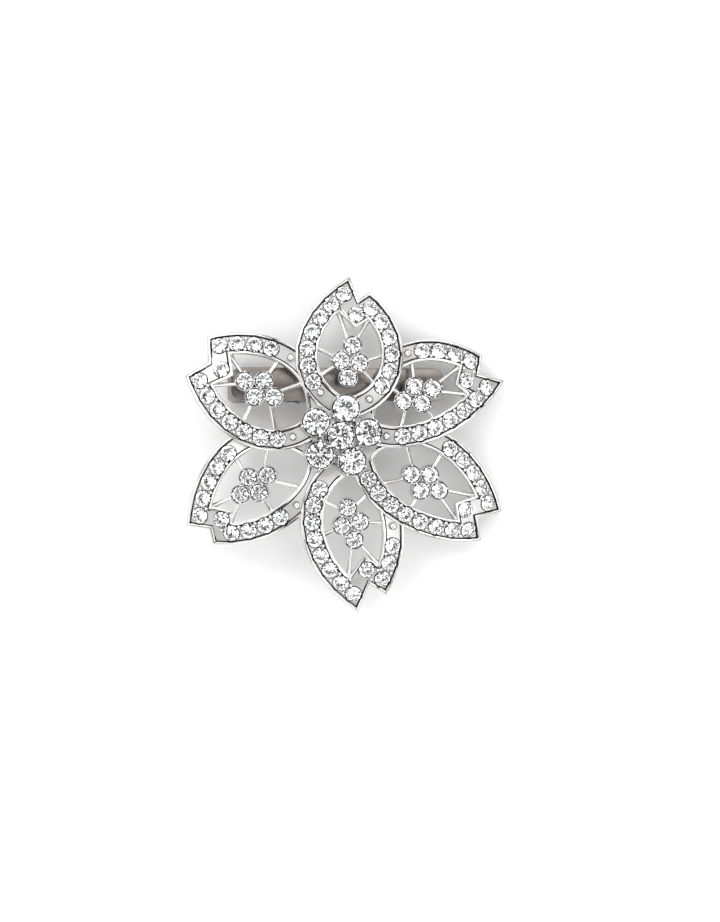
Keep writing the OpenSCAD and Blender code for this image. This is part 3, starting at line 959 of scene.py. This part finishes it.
def grain_places(petal, all_petals, stones):
    """Two grains between each pair of neighbouring stones, where there is metal and room for them."""
    sizes = flower_sizes()
    centres = [m.to_translation() for m in stones]
    ups = [m.to_3x3() @ Vector((0, 0, 1)) for m in stones]
    outer, inner = petal.loop(0), petal.loop(petal.band)
    lapped = [other.loop(0) for other in petals_over(petal, all_petals)]
    found = []
    for i, a in enumerate(centres):
        for j in range(i + 1, len(centres)):
            gap = centres[j] - a
            if gap.length > 1.35 * sizes.stone:
                continue
            up = (ups[i] + ups[j]).normalized()
            side = up.cross(gap).normalized()
            for s in (1, -1):
                spot = (a + centres[j]) / 2 + side * s * GRAIN_SIDE + up * (GIRDLE_DROP - GRAIN_SINK)
                if min((spot - c).length for c in centres) < sizes.stone / 2 + GRAIN_R * 0.75:
                    continue
                plan = np.array(spot[:2])
                in_band = min(from_loop(plan, outer), from_loop(plan, inner)) > 0.5 * sizes.rim
                if not in_band or not in_loop(plan, outer) or in_loop(plan, inner):
                    continue
                if any(in_loop(plan, lap) or from_loop(plan, lap) < GRAIN_R for lap in lapped):
                    continue
                found.append((spot, up))
    return found


def bead_places(petal, all_petals, stones):
    """A row of cast beads along the channel wherever no stone stands."""
    sizes = flower_sizes()
    centres = [m.to_translation() for m in stones]
    lapped = [other.loop(0) for other in petals_over(petal, all_petals)]
    hub = sizes.ring_r + sizes.big_stone / 2 + BIG_WALL + BEAD_R
    found = []
    for side in (1, -1):
        for q in resample(petal.side(side, petal.band / 2), 120):
            plan = petal.to_flower(q)
            spot = petal.at(plan, sizes.channel - BEAD_R * 0.35)
            if np.linalg.norm(plan) < hub:
                continue
            if any((spot - c).length < sizes.stone / 2 + BEAD_R + 0.05 for c in centres):
                continue
            if any((spot - place).length < 2.1 * BEAD_R for place, _ in found):
                continue
            if any(in_loop(plan, lap) or from_loop(plan, lap) < BEAD_R + 0.05 for lap in lapped):
                continue
            found.append((spot, petal.stand(plan).to_3x3() @ Vector((0, 0, 1))))
    return found


def from_loop(p, loop):
    """Distance from a plan point to a closed plan outline."""
    ahead = np.roll(loop, -1, axis=0) - loop
    share_along = np.clip(((p - loop) * ahead).sum(1) / (ahead * ahead).sum(1), 0, 1)
    return np.linalg.norm(p - loop - share_along[:, None] * ahead, axis=1).min()


def in_loop(p, loop):
    """Whether a plan point is inside a closed plan outline."""
    a, b = loop, np.roll(loop, -1, axis=0)
    spans = (a[:, 1] > p[1]) != (b[:, 1] > p[1])
    rise = np.where(spans, b[:, 1] - a[:, 1], 1)
    at = a[:, 0] + (b[:, 0] - a[:, 0]) * (p[1] - a[:, 1]) / rise
    return bool((spans & (p[0] < at)).sum() % 2)


def spots_mesh(name, spots, size=1.0):
    """Bare points for pieces that stand on (place, axis) spots."""
    rng = random.Random(5)
    return points_mesh(name, [(place, axis, size) for place, axis in spots], rng)


# ---- Openwork: cups, wires and claws inside the petals ----

CUP_WALL = 0.27
CUP_GAP = 0.1
CUP_HEIGHT = 1.4
WIRE_DEPTH = 1.35
WIRE_R = 0.27
WIRE_STEPS = 14
SPOKES = ((0.3, 0.52), (0.62, 0.5), (1, 0.62))
CLAW_R = 0.2


def cup_mesh(size, wall, height, sides=36):
    """A round cup whose stone's girdle lies at z = 0, with a thin polished lip and a cone for the stone."""
    r = size / 2 + 0.02
    deep = min(height, flower_sizes().pavilion * size + 0.06)
    lip = r + CUP_GAP
    profile = [
        (0, -deep), (r, -0.14), (lip, -0.12), (lip, 0.05), (lip + 0.02, 0.11), (lip + 0.05, 0.12),
        (r + wall - 0.04, 0.04), (r + wall, -0.12), (r + wall, -height + 0.12),
        (r + wall - 0.12, -height), (0, -height - 0.001),
    ]
    mesh = lathe("cup", profile, sides)
    # The cone and the lip's inner wall take the second finish, the near-black seat metal: painted shade under the
    # stone.
    mesh.polygons.foreach_set("material_index", [int(i < 3 * sides) for i in range(len(mesh.polygons))])
    return mesh


def claw_mesh(radius, reach):
    """A claw that leans over a stone's edge from outside it. It stands at x = 0 and leans to -x."""
    profile = [
        (0, radius), (0.5 * radius, 0.87 * radius), (0.87 * radius, 0.5 * radius), (radius, 0),
        (radius, -reach), (0, -reach),
    ]
    mesh = lathe("claw", profile, 12)
    lean = Matrix.Rotation(math.radians(-9), 4, "Y")
    mesh.transform(lean)
    return mesh


def claws(matrix, size, radius, count, start, reach):
    """Meshes of the claws round one stone."""
    result = []
    for i in range(count):
        turn = Matrix.Rotation(start + 2 * math.pi * i / count, 4, "Z")
        shift = Matrix.Translation((size / 2 + radius * 0.75, 0, size * 0.05))
        result.append(placed(claw_mesh(radius, reach), matrix @ turn @ shift))
    return result


def wires_tree():
    """Sweeps a round wire along each line, as thick as the line's own values say."""
    name = "sweep_wires"
    group = bpy.data.node_groups.get(name)
    if group:
        return group
    inputs = [("Sides", "NodeSocketInt"), ("Finish", "NodeSocketMaterial")]
    group, tree, source = geometry_tree(name, inputs)
    lines = tree.add("GeometryNodeMeshToCurve", {}, {"Mesh": source["Geometry"]})
    circle = {"Resolution": source["Sides"], "Radius": 1.0}
    ring = tree.add("GeometryNodeCurvePrimitiveCircle", {}, circle)
    radius = tree.add("GeometryNodeInputNamedAttribute", {"data_type": "FLOAT"}, {"Name": "radius"})
    swept = tree.add("GeometryNodeCurveToMesh", {}, {
        "Curve": lines, "Profile Curve": ring, "Scale": radius, "Fill Caps": True,
    })
    solid = tree.add("GeometryNodeRealizeInstances", {}, {"Geometry": swept})
    wire = tree.add("GeometryNodeSetMaterial", {}, {"Geometry": solid, "Material": source["Finish"]})
    end_tree(tree, wire)
    return group


def swept_wires(name, lines, finish, sides=12):
    """A plain mesh of round wires along lines of (place, radius)."""
    points, edges, radii = [], [], []
    for line in lines:
        start = len(points)
        points += [tuple(p) for p, _ in line]
        radii += [r for _, r in line]
        edges += [(start + i, start + i + 1) for i in range(len(line) - 1)]
    mesh = bpy.data.meshes.new(name)
    mesh.from_pydata(points, edges, [])
    mesh.attributes.new("radius", "FLOAT", "POINT").data.foreach_set("value", radii)
    carrier = scene_object(name, mesh)
    group = wires_tree()
    modifier = carrier.modifiers.new("wires", "NODES")
    modifier.node_group = group
    set_inputs(modifier, group, {"Sides": sides, "Finish": finish})
    return smoothed(outward(applied(carrier, name)), 60)


def wire_lines(petal, cups):
    """Lines from the cups out to the petal's walls, with a flare where each one joins."""
    middle = sum((m.to_translation() for m in cups), Vector()) / len(cups)
    lines = []
    for side in (1, -1):
        wall = petal.side(side, petal.band)
        for at, flare in SPOKES:
            end = wall[round(at * (len(wall) - 1))]
            end = petal.to_flower(end)
            start = np.array(min(cups, key=lambda m: (m.to_translation().xy - Vector(end)).length)
                             .to_translation()[:2])
            start = 0.7 * start + 0.3 * np.array(middle[:2])
            beyond = end + 0.5 * unit(end - start)
            line = []
            for i in range(WIRE_STEPS + 1):
                t = i / WIRE_STEPS
                p = start + (beyond - start) * t
                line.append((petal.at(p, WIRE_DEPTH), WIRE_R + (flare - WIRE_R) * t**5))
            lines.append(line)
    return lines


class HAIRCLIP_OT_openwork(bpy.types.Operator):
    """The cups on thin wires inside each petal"""

    bl_idname = "hairclip.openwork"
    bl_label = "Openwork"

    def execute(self, context):
        sizes = flower_sizes()
        for petal in petals():
            cups = in_flower(stone_places(f"cluster_stones_{petal.name}"))
            pieces = []
            for i, cup in enumerate(cups):
                pieces.append(placed(cup_mesh(sizes.stone, CUP_WALL, CUP_HEIGHT), cup))
                pieces += claws(cup, sizes.stone, CLAW_R, 4, i * 0.6, 0.5)
            for piece in pieces:
                smoothed(piece, 40)
            wires = swept_wires("wires", wire_lines(petal, cups), plating())
            node = f"openwork_{petal.name}"
            mesh = joined(node, [wires] + pieces, [plating(), seat_painted_shade()])
            finished(f"{node}_cast", mesh, node)
        return {"FINISHED"}


# ---- Centre ----

RING_START = 79
RING_COUNT = 5
BIG_WALL = 0.24
BIG_CLAW_R = 0.24
SETTING_DEPTH = 2.05
CUP_DEPTH = 2
BASE_TOP = 0.15
BASE_LOW = -0.55


def centre_places():
    """Matrices of the six centre cups, with their girdles at z = 0."""
    sizes = flower_sizes()
    places = [Matrix.Translation((0, 0, sizes.girdle_z + 0.1))]
    for i in range(RING_COUNT):
        turn = Matrix.Rotation(math.radians(RING_START + i * 360 / RING_COUNT), 4, "Z")
        lean = Matrix.Rotation(sizes.ring_tilt, 4, "Y")
        places.append(turn @ Matrix.Translation((sizes.ring_r, 0, sizes.girdle_z)) @ lean)
    return places


def centre_cups_cutter():
    """What the centre's cups take from the petals' roots."""
    r = flower_sizes().big_stone / 2 + 0.05 + BIG_WALL
    can = lathe("can", [(0, -SETTING_DEPTH), (r, -SETTING_DEPTH), (r, 8), (0, 8)], 40)
    return [placed(can, place) for place in centre_places()]


class HAIRCLIP_OT_centre(bpy.types.Operator):
    """The centre casting: six claw cups on a base"""

    bl_idname = "hairclip.centre"
    bl_label = "Centre"

    def execute(self, context):
        sizes = flower_sizes()
        r = sizes.ring_r
        base = [(0, BASE_TOP), (r - 0.1, BASE_TOP), (r, BASE_TOP - 0.1), (r, BASE_LOW), (0, BASE_LOW)]
        pieces = [lathe("base", base, 64)]
        for cup in centre_places():
            pieces.append(placed(cup_mesh(sizes.big_stone, BIG_WALL, CUP_DEPTH, 56), cup))
            pieces += claws(cup, sizes.big_stone, BIG_CLAW_R, 4, math.radians(45), 0.7)
        for piece in pieces:
            smoothed(piece, 40)
        mesh = joined("centre", pieces, [plating(), seat_painted_shade()])
        finished("centre_setting_cast", mesh, "centre_setting")
        return {"FINISHED"}


class HAIRCLIP_OT_stones(bpy.types.Operator):
    """Every rhinestone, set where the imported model's stones stand"""

    bl_idname = "hairclip.stones"
    bl_label = "Stones"

    def execute(self, context):
        rng = random.Random(11)
        for petal in petals():
            standing_stones(f"border_{petal.name}", f"border_stones_{petal.name}", rng)
            standing_stones(f"cluster_{petal.name}", f"cluster_stones_{petal.name}", rng)
        standing_stones("centre", "centre_stones", rng)
        return {"FINISHED"}


# ---- Back: hub, rivet and solder ----

PAD_STEPS = 16
PAD_WAIST = 0.32
PAD_FLARE = 0.08

def softened(node, width_mm, finish, body=FLOWER_BODY):
    """A stand-in for a CAD node: its faces merged and its edges rounded off by width_mm."""
    bm = bmesh.new()
    bm.from_mesh(frame["nodes"][node].data)
    bmesh.ops.remove_doubles(bm, verts=bm.verts, dist=1e-6)
    bmesh.ops.dissolve_limit(
        bm, angle_limit=math.radians(1), verts=bm.verts, edges=bm.edges, delimit={"NORMAL"}
    )
    mesh = bpy.data.meshes.new(f"{node}_soft")
    bm.to_mesh(mesh)
    bm.free()
    mesh.materials.append(finish)
    carrier = scene_object(f"{node}_soft", mesh)
    bevel = carrier.modifiers.new("edges", "BEVEL")
    bevel.width = width_mm * MM
    bevel.segments = 3
    bevel.limit_method = "ANGLE"
    bevel.angle_limit = math.radians(35)
    bevel.harden_normals = False
    mesh = smoothed(applied(carrier, f"{node}_soft"), 40)
    stands_for(f"{node}_formed", mesh, node, body)


class HAIRCLIP_OT_back(bpy.types.Operator):
    """The plate and rivet behind the petals' roots, and the solder that joins the flower to the clip"""

    bl_idname = "hairclip.back"
    bl_label = "Back"

    def execute(self, context):
        softened("hub_plate", 0.12, plating())
        softened("hub_rivet", 0.18, plating())
        back = flower_frame().inverted()
        parts = [np.array([back @ Vector(p) for p in part]) for part in loose_parts("solder_pads")]
        pads = [self.pad(part) for part in sorted(parts, key=lambda part: tuple(part.mean(0)))]
        mesh = smoothed(joined("pads", pads, [solder()]), 40)
        finished("solder_pads_flowed", mesh, "solder_pads")
        return {"FINISHED"}

    def pad(self, part):
        """A column of solder that is drawn in at its waist, as wide and as high as the CAD pad."""
        low, high = part.min(0), part.max(0)
        x, y = (low[:2] + high[:2]) / 2
        r, h = (high[0] - low[0]) / 2, high[2] - low[2]
        profile = [(0, 0)]
        for i in range(PAD_STEPS + 1):
            t = i / PAD_STEPS
            waist = math.sin(math.pi * (PAD_FLARE + (1 - 2 * PAD_FLARE) * t))
            profile.append((r * (1 - PAD_WAIST * waist), h * t))
        profile.append((0, h))
        return placed(lathe("pad", profile, 40), Matrix.Translation((x, y, low[2])))


# ---- Clip ----

SPRING_GAP = 0.08
SPRING_LEG = 5
COIL_SPACE = 0.06


def spring_line():
    """The spring's centre line about the pin: over the pin at one end and under it at the other."""
    sizes = clip_sizes()
    coil_r = sizes.pin / 2 + sizes.wire / 2 + SPRING_GAP
    rise = math.asin((sizes.pin_drop - sizes.steel - coil_r - sizes.wire / 2 - 0.05) / SPRING_LEG)
    lever = sizes.lever_angle
    start = math.pi / 2 - rise
    turn = 2 * math.pi * sizes.turns + math.pi - rise - lever
    pitch = sizes.wire + COIL_SPACE

    def coil(f):
        a = start - f * turn
        y = pitch * turn / (2 * math.pi) * (f - 0.5)
        return Vector((coil_r * math.cos(a), y, coil_r * math.sin(a)))

    steps = round(turn / (2 * math.pi) * 40)
    first = coil(0) + SPRING_LEG * Vector((-math.cos(rise), 0, math.sin(rise)))
    last = coil(1) + SPRING_LEG * Vector((-math.cos(lever), 0, -math.sin(lever)))
    return [first] + [coil(i / steps) for i in range(steps + 1)] + [last]


class HAIRCLIP_OT_clip(bpy.types.Operator):
    """The sprung clip: top plate, toothed lower jaw, hinge pin and spring"""

    bl_idname = "hairclip.clip"
    bl_label = "Clip"

    def execute(self, context):
        sizes = clip_sizes()
        softened("clip_top_plate", 0.1, clip_steel_painted_shade())
        softened("clip_lower_jaw", 0.08, clip_steel_painted_shade(), JAW_BODY)
        softened("clip_hinge_pin", 0.1, spring_wire())
        pin = Vector((sizes.lever - sizes.length / 2, sizes.line, -sizes.drop - sizes.pin_drop))
        line = [(p + pin, sizes.wire / 2) for p in spring_line()]
        mesh = swept_wires("spring", [line], spring_wire(), 16)
        mesh.transform(flower_frame())
        spring = scene_object("clip_spring_coiled", mesh)
        half = spring_line()[-1].y - sizes.wire / 2
        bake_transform(spring)
        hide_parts("clip_spring")
        return {"FINISHED"}


# ---- Stage ----

FLOOR_HALF = 3.0
BRIGHT = 2.15
GAP_DEPTH = 2.11
KEY = ("key_panel", (-0.35, 0.30, 0.55), 0.35, 1.2)
FILL = ("fill_panel", (0.45, -0.10, 0.45), 0.30, 0.6)
LENS = 150
SENSOR = 36
VIEW_WIDTH = 109.1
VIEW_SHIFT = (2.88, -3.71)

class HAIRCLIP_OT_stage(bpy.types.Operator):
    """A pale table, soft studio light and the camera"""

    bl_idname = "hairclip.stage"
    bl_label = "Stage"

    def execute(self, context):
        scene = context.scene
        side = FLOOR_HALF
        corners = [(-side, -side, 0), (side, -side, 0), (side, side, 0), (-side, side, 0)]
        floor = scene_object("table_top", new_mesh("table_top", corners, [(0, 1, 2, 3)]))
        m, tree, shader = material("table_top")
        plug(tree, shader, "Base Color", rgba(finishes().floor))
        plug(tree, shader, "Roughness", 0.6)
        plug(tree, shader, "Specular IOR Level", 0.1)
        floor.data.materials.append(m)
        self.light(scene)
        self.camera(scene)
        return {"FINISHED"}

    def light(self, scene):
        """A bright surround with dark gaps in it, so that facets and rims have edges to reflect."""
        world = bpy.data.worlds.new("studio")
        scene.world = world
        world.use_nodes = True
        world.node_tree.nodes.clear()
        tree = Tree(world.node_tree)
        look = tree.add("ShaderNodeTexCoord", output="Generated")
        part = tree.node("ShaderNodeSeparateXYZ", {}, {"Vector": look})
        x, y, up = (Value(tree, part.outputs[axis]) for axis in "XYZ")
        round_about = tree.add("ShaderNodeMath", {"operation": "ARCTAN2"}, {0: y, 1: x})
        wave = tree.add("ShaderNodeMath", {"operation": "SINE"}, {0: round_about * 5 + 0.7})
        slow = tree.add("ShaderNodeMath", {"operation": "SINE"}, {0: round_about * 2 + 2.1})
        gaps = (wave + slow * 0.35).between(0.35, 0.6) * up.between(0.35, 0.5)
        zenith = up.between(0.98, 0.992)
        low = 1 - up.between(0.15, 0.35)
        dark = gaps.highest(low.highest(zenith))
        tone = BRIGHT - dark * GAP_DEPTH
        background = tree.node("ShaderNodeBackground", {}, {"Strength": tone})
        out = tree.node("ShaderNodeOutputWorld")
        world.node_tree.links.new(background.outputs[0], out.inputs["Surface"])
        self.panel(scene, *KEY)
        self.panel(scene, *FILL)
        scene.view_settings.view_transform = "Standard"

    def panel(self, scene, name, place, size, power):
        data = bpy.data.lights.new(name, "AREA")
        data.shape = "SQUARE"
        data.size = size
        data.energy = power
        lamp = bpy.data.objects.new(name, data)
        scene.collection.objects.link(lamp)
        lamp.location = place
        lamp.rotation_euler = Vector(place).to_track_quat("Z", "Y").to_euler()

    def camera(self, scene):
        data = bpy.data.cameras.new("camera")
        camera = bpy.data.objects.new("camera", data)
        scene.collection.objects.link(camera)
        scene.camera = camera
        data.sensor_fit = "HORIZONTAL"
        data.sensor_width = SENSOR
        data.lens = LENS
        height = LENS / SENSOR * VIEW_WIDTH * MM
        centre = flower_frame() @ Vector((0, 0, flower_sizes().girdle_z))
        camera.location = (centre.x + VIEW_SHIFT[0] * MM, centre.y + VIEW_SHIFT[1] * MM, height)
        data.clip_start = 0.01
        data.clip_end = 10


# ---- Panel and main ----

OPERATORS = (
    HAIRCLIP_OT_stage,
    HAIRCLIP_OT_petal_frames,
    HAIRCLIP_OT_openwork,
    HAIRCLIP_OT_centre,
    HAIRCLIP_OT_stones,
    HAIRCLIP_OT_back,
    HAIRCLIP_OT_clip,
)


class HAIRCLIP_PT_panel(bpy.types.Panel):
    """Lists the clip's pieces"""

    bl_idname = "HAIRCLIP_PT_panel"
    bl_label = "Rhinestone hair clip"
    bl_space_type = "VIEW_3D"
    bl_region_type = "UI"
    bl_category = "Hair Clip"

    def draw(self, context):
        for operator in OPERATORS:
            self.layout.operator(operator.bl_idname)
        for group in (flower_sizes(), clip_sizes(), finishes()):
            for name in group.__annotations__:
                self.layout.prop(group, name)


GROUPS = (FlowerSizes, ClipSizes, Finishes)
CLASSES = GROUPS + OPERATORS + (HAIRCLIP_PT_panel,)


def register():
    for cls in CLASSES:
        bpy.utils.register_class(cls)
    bpy.types.Scene.hair_clip_flower = bpy.props.PointerProperty(type=FlowerSizes)
    bpy.types.Scene.hair_clip_clip = bpy.props.PointerProperty(type=ClipSizes)
    bpy.types.Scene.hair_clip_finishes = bpy.props.PointerProperty(type=Finishes)


def unregister():
    del bpy.types.Scene.hair_clip_flower
    del bpy.types.Scene.hair_clip_clip
    del bpy.types.Scene.hair_clip_finishes
    for cls in reversed(CLASSES):
        bpy.utils.unregister_class(cls)


def main():
    register()
    for operator in OPERATORS:
        category, name = operator.bl_idname.split(".")
        getattr(getattr(bpy.ops, category), name)()


if __name__ == "__main__":
    main()
